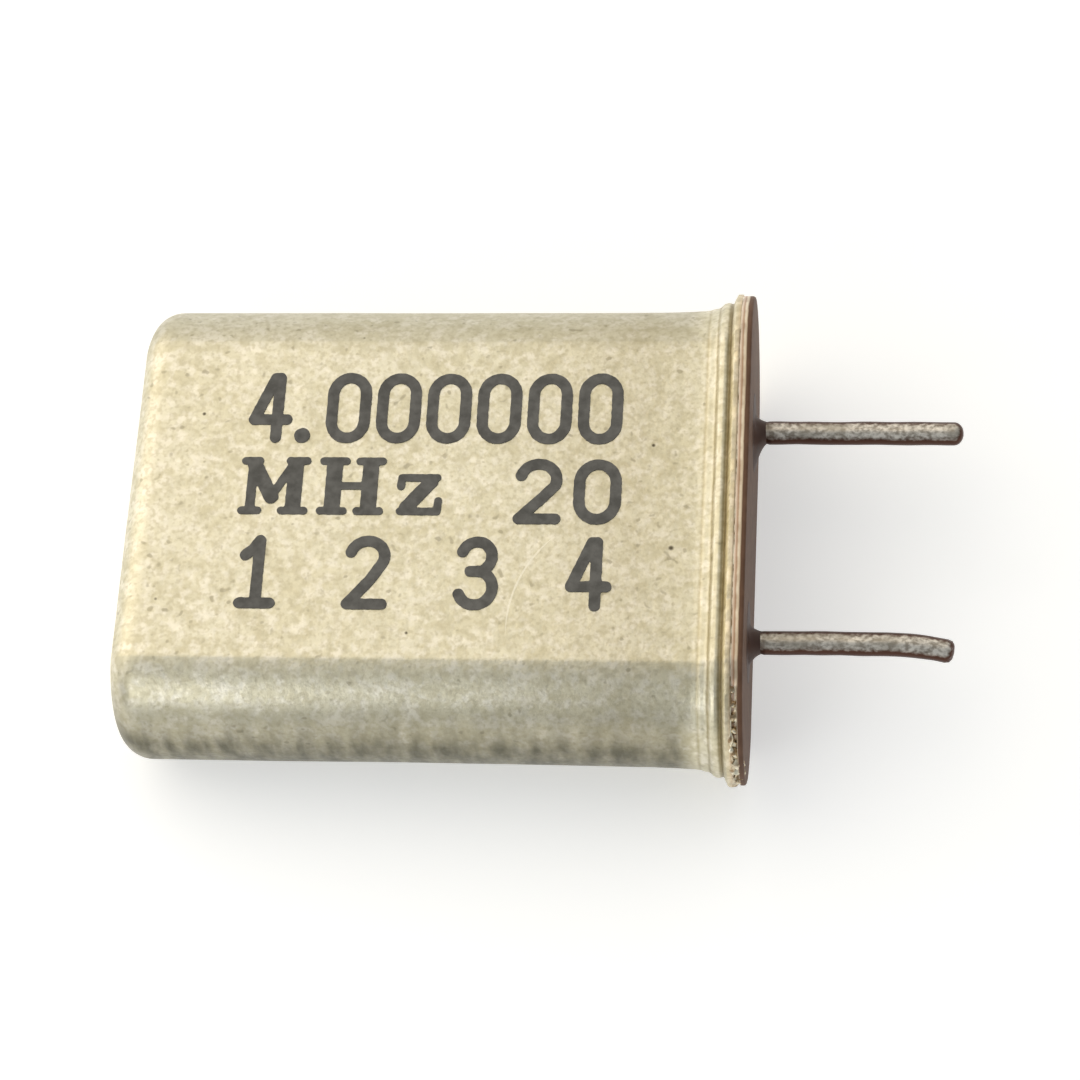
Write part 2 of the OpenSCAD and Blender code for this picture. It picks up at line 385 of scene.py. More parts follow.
# How far the glass spreads from the wire, and how much further on the far bead's near side
MENISCUS_REACH = 0.24
MENISCUS_NEARER = 0.36
MENISCUS_STEPS = 18


def lead_middle(side, x):
    """Middle of a lead at x; the near one is bent a little down and outward at its end."""
    past = max(0, x - BEND_FROM) if side == "near" else 0
    drop = BEND_GROWTH * past * past
    return Vector((x, LEAD_Y[side] - BEND_OUTWARD * drop, -drop))


def lead_wire(side, finish):
    """Tinned wire with a swollen neck in the glass; far end rounded, near end nipped off."""
    nipped = side == "near"
    tip = LEAD_TIP - (NIPPED_SHORTER if nipped else 0)
    radii = [(LEAD_BACK, 0), (LEAD_BACK, HEAD_R), (-BASE_TOP, HEAD_R)]
    free = tip - FILLET - TIP_ROUND
    radii += [(FILLET + free * i / WIRE_STEPS, LEAD_R) for i in range(WIRE_STEPS + 1)]
    if nipped:
        radii += [(tip - 0.1, 0.9 * LEAD_R), (tip - 0.04, 0.62 * LEAD_R), (tip, 0)]
    else:
        radii += [(tip - TIP_ROUND + a, b)
                  for a, b in arc((0, 0), (TIP_ROUND, LEAD_R), 90, 0, 8)[1:]]
    rings = []
    for x, radius in radii:
        middle = lead_middle(side, x)
        ring = []
        for b, c in arc((0, 0), (1, 1), 0, 360, ROUND_STEPS)[:-1]:
            way = Vector((0, b, c))
            spot = middle + way * radius
            if x > FILLET and radius:
                spot += way * (waviness(spot, 0.6, 0.014) + TIN)
            if nipped and x > tip - TORN_BACK:
                share = (x - tip + TORN_BACK) / TORN_BACK
                ragged = 0.05 * b + waviness(Vector((0, b, c)), 0.45, 0.08)
                spot.x += share * (ragged * radius / LEAD_R - TORN_OFF)
            ring.append(spot)
        rings.append(ring)
    return piece("lead_wire_" + side, skin(rings), finish, "lead_metal", "lead_" + side)


def glass_bead(side, finish):
    """Dark glass between base and lead, climbing the wire and fuller on its near side."""
    middle = lead_middle(side, 0)
    rings = []
    for i in range(ROUND_STEPS * 2):
        turn = math.pi * i / ROUND_STEPS
        way = Vector((0, math.cos(turn), math.sin(turn)))
        nearer = max(0, -math.cos(turn)) ** 1.5
        reach = MENISCUS_REACH + (MENISCUS_NEARER * nearer if side == "far" else 0)
        section = [(HEAD_R, -BASE_TOP), (LEAD_R - 0.02, 0.8 * FILLET)]
        for step in range(MENISCUS_STEPS + 1):
            away = (step / MENISCUS_STEPS) ** 1.6
            climb = (1 - away) ** 3 * (FILLET - 0.02)
            swell = 0.07 * nearer * math.sin(math.pi * away)
            rough = away * 0.012 * noise.noise(Vector((2 * away, 5 * way.y, 5 * way.z)))
            section.append((LEAD_R + reach * away, climb + swell + 0.008 + rough))
        section.append((BEAD_R, 0.004))
        section.append((BEAD_R, -BASE_TOP))
        rings.append([middle + way * radius + Vector((x, 0, 0)) for radius, x in section])
    return piece("glass_bead_" + side, skin(rings, wrap=True), finish, "seal_glass",
                 "glass_seal_" + side)


# ---------------------------------------------------------------- printed figures
STROKE = 0.24
# Grid on which a figure's edge is traced, and how far it goes beyond the figure
INK_STEP = 0.026
INK_MARGIN = 0.35
INK_T = INK_HIGH.z - INK_LOW.z


# Each figure is a list of (points of a stroke's middle, its width), in a box w wide and h tall
def runs_zero(w, h):
    top = arc((w / 2, h - 0.55 * w), (w / 2, 0.55 * w), 0, 180, 16)
    low = arc((w / 2, 0.55 * w), (w / 2, 0.55 * w), 180, 360, 16)
    return [(top + low + top[:1], STROKE)]


def runs_one(w, h):
    return [([(0.14 * w, 0.76 * h), (0.36 * w, 0.86 * h), (0.54 * w, h), (0.54 * w, 0)], STROKE),
            ([(0.08 * w, 0), (0.96 * w, 0)], STROKE)]


def runs_two(w, h):
    bowl = arc((w / 2, h - 0.48 * w), (w / 2, 0.48 * w), 165, -20, 16)
    return [(bowl + [(0.62 * w, 0.38 * h), (0, 0), (w, 0)], STROKE)]


def runs_three(w, h):
    upper = arc((0.46 * w, 0.76 * h), (0.44 * w, 0.24 * h), 160, -80, 16)
    lower = arc((0.46 * w, 0.27 * h), (0.5 * w, 0.27 * h), 82, -158, 18)
    return [(upper, STROKE), ([(0.3 * w, 0.53 * h), (0.5 * w, 0.53 * h)], STROKE), (lower, STROKE)]


def runs_four(w, h):
    return [([(0.7 * w, 0), (0.7 * w, h), (0.56 * w, h), (0, 0.3 * h), (w, 0.3 * h)], STROKE)]


def runs_point(w, h):
    return [([(0.5 * w, 0.05), (0.5 * w, 0.051)], 0.34)]


# Bold letters: the thickness of their thin bars, and what centres a bar on a stroke's line
SLAB = 0.17
SLAB_GAP = (STROKE - SLAB) / 2


def slab(x, y, half):
    """A thin bar across the end of a bold letter's stem."""
    return ([(x - half, y), (x + half, y)], SLAB)


def stem(x, h, wide):
    """An upright of a bold letter, its round ends kept inside the slabs across them."""
    inset = (wide - SLAB) / 2 - SLAB_GAP
    return ([(x, inset), (x, h - inset)], wide)


def runs_big_m(w, h):
    left, right, low, top = 0.14 * w, 0.83 * w, -SLAB_GAP, h + SLAB_GAP
    return [stem(left, h, 0.2), stem(right, h, 0.33),
            ([(left + 0.03, top - 0.08), (0.47 * w, 0.26 * h)], 0.31),
            ([(0.47 * w, 0.26 * h), (right - 0.05, top - 0.06)], 0.18),
            slab(left, low, 0.17), slab(right, low, 0.24), slab(left - 0.02, top, 0.15),
            slab(right + 0.05, top, 0.18)]


def runs_big_h(w, h):
    left, right, low, top = 0.17 * w, 0.81 * w, -SLAB_GAP, h + SLAB_GAP
    slabs = [slab(x, y, 0.24) for x in (left, right) for y in (low, top)]
    return [stem(left, h, 0.34), stem(right, h, 0.34)] + slabs + [
        ([(left, h / 2), (right, h / 2)], SLAB)]


def runs_small_z(w, h):
    top, low = 0.68 * h, -SLAB_GAP
    return [([(0.04 * w, top - 0.2), (0.06 * w, top), (0.94 * w, top)], SLAB),
            ([(0.8 * w, top - 0.08), (0.2 * w, low + 0.08)], 0.3),
            ([(0.06 * w, low), (0.98 * w, low), (w, low + 0.24)], SLAB)]


# Each line: height of its foot, height of its figures, then (left edge, width, figure) of each
FIRST_X = INK_LOW.x + 0.12
LINE_STEP = 1.9
LINE_1_Y = INK_HIGH.y - 1.66
TALL, BOLD_TALL, THIN_TALL = 1.66, 1.32, 1.5
ZERO_PITCH = 1.07
LINES = [
    (LINE_1_Y, TALL, [(0, 0.94, runs_four), (0.98, 0.4, runs_point)]
     + [(1.66 + i * ZERO_PITCH, 0.94, runs_zero) for i in range(6)]),
    (LINE_1_Y - LINE_STEP + 0.24, BOLD_TALL,
     [(-0.1, 1.56, runs_big_m), (1.62, 1.44, runs_big_h), (3.22, 1.08, runs_small_z)]),
    (LINE_1_Y - LINE_STEP + 0.05, THIN_TALL, [(5.76, 1.0, runs_two), (7.0, 1.0, runs_zero)]),
    (LINE_1_Y - 2 * LINE_STEP, TALL,
     [(2.31 * i, 0.96, run) for i, run in enumerate((runs_one, runs_two, runs_three, runs_four))]),
]


def ink_depth(x, y, runs):
    """How far each grid point lies inside the ink, from the strokes' middles and widths."""
    depth = np.full(x.shape, -1.0)
    for points, width in runs:
        for (ax, ay), (bx, by) in zip(points, points[1:]):
            dx, dy = bx - ax, by - ay
            length = max(dx * dx + dy * dy, 1e-9)
            share = np.clip(((x - ax) * dx + (y - ay) * dy) / length, 0, 1)
            away = np.hypot(x - ax - share * dx, y - ay - share * dy)
            depth = np.maximum(depth, width / 2 - away)
    return depth


def ink_faces(runs, left, foot, width, height):
    """Flat faces that cover a figure, cut along the ink's slightly ragged edge."""
    xs = np.arange(left - INK_MARGIN, left + width + INK_MARGIN, INK_STEP)
    ys = np.arange(foot - INK_MARGIN, foot + height + INK_MARGIN, INK_STEP)
    x, y = np.meshgrid(xs, ys, indexing="ij")
    depth = ink_depth(x, y, runs)
    for i in range(len(xs)):
        for j in range(len(ys)):
            if abs(depth[i, j]) < STROKE:
                depth[i, j] += 0.009 * noise.noise(Vector((xs[i] / 0.1, ys[j] / 0.1, 0)))
    faces = []
    for i in range(len(xs) - 1):
        for j in range(len(ys) - 1):
            around = [(i, j), (i + 1, j), (i + 1, j + 1), (i, j + 1)]
            if all(depth[c] <= 0 for c in around):
                continue
            face = []
            for c, following in zip(around, around[1:] + around[:1]):
                here, there = depth[c], depth[following]
                if here > 0:
                    face.append((xs[c[0]], ys[c[1]]))
                if (here > 0) != (there > 0):
                    share = min(max(here / (here - there), 0.02), 0.98)
                    face.append(tuple(float(a[p] + (a[q] - a[p]) * share) for a, p, q in
                                      ((xs, c[0], following[0]), (ys, c[1], following[1]))))
            faces.append(face)
    return faces


def marking(finish):
    """Thin coat of ink on the can's upper face."""
    bm = bmesh.new()
    for foot, tall, figures in LINES:
        for from_left, width, runs_of in figures:
            left = FIRST_X + from_left
            runs = [([(left + STROKE / 2 + x, foot + STROKE / 2 + y) for x, y in points], wide)
                    for points, wide in runs_of(width - STROKE, tall - STROKE)]
            for face in ink_faces(runs, left, foot, width, tall):
                bm.faces.new([bm.verts.new((x, y, INK_LOW.z)) for x, y in face])
    for vert in bm.verts:
        vert.co.z += sheet_hollows(vert.co)
    bmesh.ops.remove_doubles(bm, verts=bm.verts, dist=SAME_POINT)
    lower = list(bm.faces)
    rims = [edge for edge in bm.edges if len(edge.link_faces) == 1]
    raised = {vert: bm.verts.new(vert.co + Vector((0, 0, INK_T))) for vert in list(bm.verts)}
    for face in lower:
        bm.faces.new([raised[vert] for vert in face.verts])
    for edge in rims:
        a, b = edge.verts
        bm.faces.new((a, b, raised[b], raised[a]))
    return piece("marking", bm, finish, "ink", "marking_ink")


# ---------------------------------------------------------------- finishes
# Sockets of a Mix node that mixes colours
SHARE, FIRST, SECOND, MIXED = 0, 6, 7, 2


def srgb(code):
    """Linear colour of an sRGB hex value."""
    parts = [int(code[i:i + 2], 16) / 255 for i in (1, 3, 5)]
    return tuple(p / 12.92 if p <= 0.04045 else ((p + 0.055) / 1.055) ** 2.4 for p in parts) + (1,)


def add(tree, kind, inputs, **settings):
    """One node: settings are its properties, inputs the values of its sockets or what feeds them."""
    made = tree.nodes.new(kind)
    for name, value in settings.items():
        setattr(made, name, value)
    for socket, value in inputs.items():
        if isinstance(value, bpy.types.NodeSocket):
            tree.links.new(value, made.inputs[socket])
        else:
            made.inputs[socket].default_value = value
    return made


def finish_of(name, **values):
    """A new material: its node tree, its shader with those values, and the place on the object."""
    made = bpy.data.materials.new(name)
    made.use_nodes = True
    tree = made.node_tree
    shader = tree.nodes["Principled BSDF"]
    for socket, value in values.items():
        shader.inputs[socket.replace("_", " ")].default_value = value
    place = add(tree, "ShaderNodeTexCoord", {}).outputs["Object"]
    return made, tree, shader, place


def per_size(size):
    """Scale of a pattern whose features are that many millimetres across."""
    return 1 / (size * MM)


# Patches over the can's metal: colour, size, raggedness, noise at which they begin and are
# full, strength
SPECKS = (("#CDC5A8", 0.3, 2, 0.44, 0.68, 0.75), ("#F1EBDA", 0.24, 2, 0.46, 0.66, 0.75),
          ("#C6BDA0", 0.1, 1, 0.46, 0.68, 0.55), ("#A29A82", 0.15, 0, 0.75, 0.85, 0.6))
# Tints along the flare and flange: distance from the seating plane and what the metal's colour
# is multiplied by there. The darker bands at 0.93, 0.72 and 0.50 to 0.44 are painted shade in the
# flare's step and grooves, and the slight dimming from 2.4 to 1.2 is painted shade towards the
# flange
FLANGE_TINTS_AND_SHADE = ((5.5, "#FFFFFF"), (2.4, "#F6F4F1"), (1.20, "#F6F5F2"), (0.98, "#FFFFFF"),
                (0.93, "#E0DCD2"), (0.88, "#FFFFFF"), (0.76, "#FFFFFF"), (0.72, "#CDC6B6"),
                (0.67, "#FFFFFF"), (0.54, "#FFFDF8"), (0.50, "#BDB4A0"), (0.44, "#B5AC98"),
                (0.40, "#FFFCF4"), (0.32, "#FFF8F0"), (0.25, "#FBEBDC"))
TINT_WANDER = 0.04
# The base: bare and pale on its rim, straw beside the weld, browned on its seating face, which is
# darkened further as painted shade
BASE_TINTS_AND_SHADE = ((0.3, "#EADBC8"), (0.22, "#EAD8C4"), (0.18, "#B8957A"), (0.15, "#E4D8C2"),
              (0.12, "#E2D3BA"), (0.09, "#70503A"), (0.0, "#6C4D37"))
# Small pits in the can: place and radius
PITS = (((-1.55, -1.15, 1.88), 0.07), ((-9.95, -4.2, 1.3), 0.06), ((-2.6, 4.0, 1.88), 0.05),
        ((-6.9, -3.1, 1.88), 0.045), ((-11.6, 1.9, 1.88), 0.05), ((-2.0, 1.2, 1.88), 0.05),
        ((-8.3, 3.75, 1.88), 0.045), ((-12.2, -2.4, 1.85), 0.05))
# Painted shade, each as where it begins and where it is full: down from the upper flat (Z), towards
# the near side (Y), towards the far side (Y), and back from the flare (X)
PAINTED_SHADE_DOWN, PAINTED_SHADE_NEAR, PAINTED_SHADE_FAR = (1.7, 0.4), (-3.6, -4.2), (3.4, 4)
PAINTED_SHADE_WALL = (-1.0, -1.4)
# A hair-thin curved scratch: middle and radius of its curve, its own middle and half-length
SCRATCH_CENTRE, SCRATCH_R = (-2.11, -2.94, 1.88), 2.75
SCRATCH_MIDDLE, SCRATCH_HALF = (-4.6, -1.9, 1.88), 1.25


def tint_and_shade_by_height(tree, x, wander, tints_and_shade):
    """Colours that change with the height above the seating plane, their edges wandering a bit."""
    along = add(tree, "ShaderNodeMath", {0: wander, 1: TINT_WANDER * MM, 2: x},
                operation="MULTIPLY_ADD")
    first, last = tints_and_shade[0][0], tints_and_shade[-1][0]
    settled = TINT_WANDER / 2
    reach = add(tree, "ShaderNodeMapRange",
                {"Value": along.outputs["Value"], "From Min": (settled - first) * MM,
                 "From Max": (settled - last) * MM})
    ramp = add(tree, "ShaderNodeValToRGB", {"Fac": reach.outputs["Result"]})
    stops = ramp.color_ramp.elements
    for height, colour in tints_and_shade[1:-1]:
        stops.new((first - height) / (first - last))
    for stop, (height, colour) in zip(stops, tints_and_shade):
        stop.color = srgb(colour)
    return ramp.outputs["Color"]


def matt_nickel_silver():
    """Deep-drawn nickel silver, tumbled matt: cream metal, speckled, straw-tinted by the weld, with
    painted shade down its sides and in the flare's grooves.
    """
    made, tree, shader, place = finish_of("matt_drawn_nickel_silver", Metallic=1, Roughness=0.42)

    def layer(under, share, colour, **settings):
        """Lays a colour over another where its share says so."""
        return add(tree, "ShaderNodeMix", {SHARE: share, FIRST: under, SECOND: colour},
                   data_type="RGBA", **settings).outputs[MIXED]

    clouds = add(tree, "ShaderNodeTexNoise", {"Vector": place, "Scale": per_size(1.7), "Detail": 3})
    cloudy = add(tree, "ShaderNodeMapRange",
                 {"Value": clouds.outputs["Fac"], "From Min": 0.36, "From Max": 0.64})
    tone = layer(srgb("#DCD5BA"), cloudy.outputs["Result"], srgb("#E6E0C9"))
    for colour, size, ragged, begins, full, strength in SPECKS:
        spots = add(tree, "ShaderNodeTexNoise",
                    {"Vector": place, "Scale": per_size(size), "Detail": ragged})
        share = add(tree, "ShaderNodeMapRange", {"Value": spots.outputs["Fac"], "From Min": begins,
                                                 "From Max": full, "To Max": strength})
        tone = layer(tone, share.outputs["Result"], srgb(colour))
    for spot, radius in PITS:
        away = add(tree, "ShaderNodeVectorMath", {0: place, 1: Vector(spot) * MM},
                   operation="DISTANCE")
        share = add(tree, "ShaderNodeMapRange",
                    {"Value": away.outputs["Value"], "From Min": radius * MM,
                     "From Max": 0.4 * radius * MM, "To Max": 0.9})
        tone = layer(tone, share.outputs["Result"], srgb("#4F4739"))
    ends = add(tree, "ShaderNodeVectorMath", {0: place, 1: Vector(SCRATCH_MIDDLE) * MM},
               operation="DISTANCE")
    within = add(tree, "ShaderNodeMapRange",
                 {"Value": ends.outputs["Value"], "From Min": SCRATCH_HALF * MM,
                  "From Max": 0.6 * SCRATCH_HALF * MM, "To Max": 0.02 * MM})
    bow = add(tree, "ShaderNodeVectorMath", {0: place, 1: Vector(SCRATCH_CENTRE) * MM},
              operation="DISTANCE")
    line = add(tree, "ShaderNodeMath", {0: bow.outputs["Value"], 1: SCRATCH_R * MM,
                                        2: within.outputs["Result"]}, operation="COMPARE")
    faint = add(tree, "ShaderNodeMath", {0: line.outputs["Value"], 1: 0.55}, operation="MULTIPLY")
    tone = layer(tone, faint.outputs["Value"], srgb("#F7F2E2"))

    # The flange's tints, with painted shade in its grooves among them, wander a little along its
    # length
    parts = add(tree, "ShaderNodeSeparateXYZ", {"Vector": place})
    wander = add(tree, "ShaderNodeTexNoise", {"Vector": place, "Scale": per_size(0.5), "Detail": 3})
    tints_and_shade = tint_and_shade_by_height(tree, parts.outputs["X"], wander.outputs["Fac"], FLANGE_TINTS_AND_SHADE)
    tone = layer(tone, 1, tints_and_shade, blend_type="MULTIPLY")

    # Painted shade: smeared patches that thicken down the near side, an even trace on the far side;
    # it fades out on the flare, which is left bright
    low = add(tree, "ShaderNodeMapRange",
              {"Value": parts.outputs["Z"], "From Min": PAINTED_SHADE_DOWN[0] * MM,
               "From Max": PAINTED_SHADE_DOWN[1] * MM})
    near = add(tree, "ShaderNodeMapRange",
               {"Value": parts.outputs["Y"], "From Min": PAINTED_SHADE_NEAR[0] * MM,
                "From Max": PAINTED_SHADE_NEAR[1] * MM})
    smear = add(tree, "ShaderNodeMapping", {"Vector": place, "Scale": (1, 0.35, 0.35)})
    smears = add(tree, "ShaderNodeTexNoise", {"Vector": smear.outputs["Vector"],
                                              "Scale": per_size(0.3), "Detail": 5})
    smeared = add(tree, "ShaderNodeMapRange",
                  {"Value": smears.outputs["Fac"], "From Min": 0.35, "From Max": 0.65,
                   "To Min": 0.66, "To Max": 0.94})
    here = add(tree, "ShaderNodeMath", {0: low.outputs["Result"], 1: near.outputs["Result"]},
               operation="MULTIPLY")
    patchy = add(tree, "ShaderNodeMath", {0: here.outputs["Value"], 1: smeared.outputs["Result"]},
                 operation="MULTIPLY")
    far = add(tree, "ShaderNodeMapRange",
              {"Value": parts.outputs["Y"], "From Min": PAINTED_SHADE_FAR[0] * MM,
               "From Max": PAINTED_SHADE_FAR[1] * MM, "To Max": 0.26})
    sides = add(tree, "ShaderNodeMath", {0: patchy.outputs["Value"], 1: far.outputs["Result"]},
                operation="ADD")
    wall = add(tree, "ShaderNodeMapRange",
               {"Value": parts.outputs["X"], "From Min": PAINTED_SHADE_WALL[0] * MM,
                "From Max": PAINTED_SHADE_WALL[1] * MM, "To Min": 0.15})
    painted_shade = add(tree, "ShaderNodeMath",
                  {0: sides.outputs["Value"], 1: wall.outputs["Result"]}, operation="MULTIPLY")
    tone = layer(tone, painted_shade.outputs["Value"], srgb("#5D5B4D"))
    tree.links.new(tone, shader.inputs["Base Color"])

    grit = add(tree, "ShaderNodeTexNoise",
               {"Vector": place, "Scale": per_size(0.14), "Detail": 3, "Roughness": 0.6})
    rough = add(tree, "ShaderNodeMapRange", {"Value": grit.outputs["Fac"], "From Min": 0.3,
                                             "From Max": 0.7, "To Min": 0.36, "To Max": 0.48})
    tree.links.new(rough.outputs["Result"], shader.inputs["Roughness"])
    hollows = add(tree, "ShaderNodeBump", {"Height": clouds.outputs["Fac"], "Distance": 0.02 * MM})
    sanded = add(tree, "ShaderNodeBump", {"Height": grit.outputs["Fac"], "Distance": 0.008 * MM,
                                          "Normal": hollows.outputs["Normal"]})
    tree.links.new(sanded.outputs["Normal"], shader.inputs["Normal"])
    return made


def fired_kovar():
    """Iron-nickel-cobalt stamping: sheared pale at its rim, browned dull where glass was fired, and
    darkened further there as painted shade.
    """
    made, tree, shader, place = finish_of("fired_kovar", Metallic=1, Roughness=0.46)
    stain = add(tree, "ShaderNodeTexNoise", {"Vector": place, "Scale": per_size(0.35), "Detail": 4})
    stained = add(tree, "ShaderNodeMapRange",
                  {"Value": stain.outputs["Fac"], "From Min": 0.35, "From Max": 0.65})
    height = add(tree, "ShaderNodeSeparateXYZ", {"Vector": place}).outputs["X"]
    tints_and_shade = tint_and_shade_by_height(tree, height, stain.outputs["Fac"], BASE_TINTS_AND_SHADE)
    shade = add(tree, "ShaderNodeMix", {SHARE: stained.outputs["Result"], FIRST: srgb("#DDD6CF"),
                                        SECOND: srgb("#FFFFFF")}, data_type="RGBA")
    tone = add(tree, "ShaderNodeMix", {SHARE: 1, FIRST: tints_and_shade, SECOND: shade.outputs[MIXED]},
               data_type="RGBA", blend_type="MULTIPLY")
    tree.links.new(tone.outputs[MIXED], shader.inputs["Base Color"])
    bare = add(tree, "ShaderNodeMapRange",
               {"Value": height, "From Min": -0.08 * MM, "From Max": -0.115 * MM, "To Min": 0.25})
    tree.links.new(bare.outputs["Result"], shader.inputs["Metallic"])
    dull = add(tree, "ShaderNodeMapRange",
               {"Value": bare.outputs["Result"], "To Min": 0.72, "To Max": 0.42})
    tree.links.new(dull.outputs["Result"], shader.inputs["Roughness"])
    rolled = add(tree, "ShaderNodeBump", {"Height": stain.outputs["Fac"], "Distance": 0.01 * MM})
    tree.links.new(rolled.outputs["Normal"], shader.inputs["Normal"])
    return made


def heat_tinted_weld():
    """Metal squeezed from a resistance weld: bright little lumps, straw to brown with heat."""
    made, tree, shader, place = finish_of("heat_tinted_weld", Metallic=1, Roughness=0.28)
    tint = add(tree, "ShaderNodeTexNoise", {"Vector": place, "Scale": per_size(0.2), "Detail": 3})
    tinted = add(tree, "ShaderNodeMapRange",
                 {"Value": tint.outputs["Fac"], "From Min": 0.4, "From Max": 0.6})
    tone = add(tree, "ShaderNodeMix", {SHARE: tinted.outputs["Result"], FIRST: srgb("#9A8263"),
                                       SECOND: srgb("#EDE5CC")}, data_type="RGBA")
    tree.links.new(tone.outputs[MIXED], shader.inputs["Base Color"])
    return made


def sealing_glass():
    """Sealing glass fired between base and lead: opaque dark brown with a soft shine."""
    made, tree, shader, place = finish_of("fired_sealing_glass", Roughness=0.55, IOR=1.52)
    swirl = add(tree, "ShaderNodeTexNoise", {"Vector": place, "Scale": per_size(0.2), "Detail": 3})
    tone = add(tree, "ShaderNodeMix", {SHARE: swirl.outputs["Fac"], FIRST: srgb("#331A0F"),
                                       SECOND: srgb("#52311D")}, data_type="RGBA")
    tree.links.new(tone.outputs[MIXED], shader.inputs["Base Color"])
    return made


# The way across the lead that is painted lightest; the sides facing away from it get painted shade
PAINTED_LIGHT_WAY = Vector((0, -0.24, 0.97))


def tinned_wire():
    """Hot-tinned wire, pale and grainy; red-brown painted shade down its sides, by the way they
    face.
    """
    made, tree, shader, place = finish_of("hot_tinned_wire", Metallic=1, Roughness=0.36)
    stretched = add(tree, "ShaderNodeMapping", {"Vector": place, "Scale": (0.7, 1, 1)})
    grains = add(tree, "ShaderNodeTexNoise", {"Vector": stretched.outputs["Vector"],
                                              "Scale": per_size(0.08), "Detail": 3})
    grainy = add(tree, "ShaderNodeMapRange",
                 {"Value": grains.outputs["Fac"], "From Min": 0.38, "From Max": 0.6})
    bright = add(tree, "ShaderNodeMix", {SHARE: grainy.outputs["Result"], FIRST: srgb("#A79D8F"),
                                         SECOND: srgb("#EBE3D6")}, data_type="RGBA")
    rubs = add(tree, "ShaderNodeTexNoise", {"Vector": place, "Scale": per_size(0.9), "Detail": 2})
    rubbed = add(tree, "ShaderNodeMapRange", {"Value": rubs.outputs["Fac"], "From Min": 0.48,
                                              "From Max": 0.62, "To Max": 0.6})
    tin = add(tree, "ShaderNodeMix", {SHARE: rubbed.outputs["Result"],
                                      FIRST: bright.outputs[MIXED], SECOND: srgb("#A59C8C")},
              data_type="RGBA")
    # Painted shade: the wire darkens to red-brown where it faces away from its lit top
    facing = add(tree, "ShaderNodeNewGeometry", {}).outputs["Normal"]
    light_facing = add(tree, "ShaderNodeVectorMath", {0: facing, 1: PAINTED_LIGHT_WAY}, operation="DOT_PRODUCT")
    patchy = add(tree, "ShaderNodeMath", {0: grains.outputs["Fac"], 1: 0.3,
                                          2: light_facing.outputs["Value"]}, operation="MULTIPLY_ADD")
    side = add(tree, "ShaderNodeMapRange", {"Value": patchy.outputs["Value"], "From Min": 1.09,
                                            "From Max": 0.78}, interpolation_type="SMOOTHSTEP")
    painted_side_shade = add(tree, "ShaderNodeMix", {SHARE: side.outputs["Result"], FIRST: tin.outputs[MIXED],
                                        SECOND: srgb("#50382F")}, data_type="RGBA")
    tree.links.new(painted_side_shade.outputs[MIXED], shader.inputs["Base Color"])
    dipped = add(tree, "ShaderNodeBump", {"Height": grains.outputs["Fac"], "Distance": 0.006 * MM})
    tree.links.new(dipped.outputs["Normal"], shader.inputs["Normal"])
    return made


def printing_ink():
    """Marking ink, baked on: matt dark grey, thinner and cooler where the stamp left less."""
    made, tree, shader, place = finish_of("baked_marking_ink", Roughness=0.62)
    thin = add(tree, "ShaderNodeTexNoise", {"Vector": place, "Scale": per_size(0.22), "Detail": 3})
    thinned = add(tree, "ShaderNodeMapRange",
                  {"Value": thin.outputs["Fac"], "From Min": 0.35, "From Max": 0.65})
    tone = add(tree, "ShaderNodeMix", {SHARE: thinned.outputs["Result"], FIRST: srgb("#4F4D48"),
                                       SECOND: srgb("#676560")}, data_type="RGBA")
    tree.links.new(tone.outputs[MIXED], shader.inputs["Base Color"])
    return made


def inner_finish(name, shade, other, **values):
    """A finish of the sealed-in pieces: two close tones in small patches."""
    made, tree, shader, place = finish_of(name, **values)
    patches = add(tree, "ShaderNodeTexNoise", {"Vector": place, "Scale": per_size(0.4), "Detail": 3})
    tone = add(tree, "ShaderNodeMix", {SHARE: patches.outputs["Fac"], FIRST: srgb(shade),
                                       SECOND: srgb(other)}, data_type="RGBA")
    tree.links.new(tone.outputs[MIXED], shader.inputs["Base Color"])
    return made


def dress_inner_pieces():
    """Finishes for what is sealed in the can: spring clips, quartz, silver and cement."""
    strip = inner_finish("bright_nickel_strip", "#B8B4A8", "#CCC8BC", Metallic=1, Roughness=0.25)
    lapped = inner_finish("lapped_quartz", "#E4EBED", "#F2F6F7", Roughness=0.3, IOR=1.54,
                          Transmission_Weight=0.9)
    silver = inner_finish("evaporated_silver", "#D4D3CF", "#E6E5E1", Metallic=1, Roughness=0.2)
    cement = inner_finish("silver_filled_cement", "#8F8F8B", "#A9A9A5", Roughness=0.8)
    for name, finish in (("clip_near", strip), ("clip_far", strip), ("quartz_blank", lapped),
                         ("electrode_upper", silver), ("electrode_lower", silver),
                         ("cement_near", cement), ("cement_far", cement)):
        frame["nodes"][name].data.materials.clear()
        frame["nodes"][name].data.materials.append(finish)


# ---------------------------------------------------------------- building the piece
metal, wire, glass = matt_nickel_silver(), tinned_wire(), sealing_glass()
can_shell(metal)
base_header(fired_kovar())
weld = heat_tinted_weld()
weld_flash(weld)
weld_spatter(weld)
for side in ("near", "far"):
    lead_wire(side, wire)
    glass_bead(side, glass)
marking(printing_ink())
dress_inner_pieces()

# ---------------------------------------------------------------- floor, light and camera
FLOOR_R = 500
FLOOR_GAP = 0.02
# How much whiter the floor is seen, directly and in metal and glass, than its light makes it
FLOOR_BLEACH = 0.36


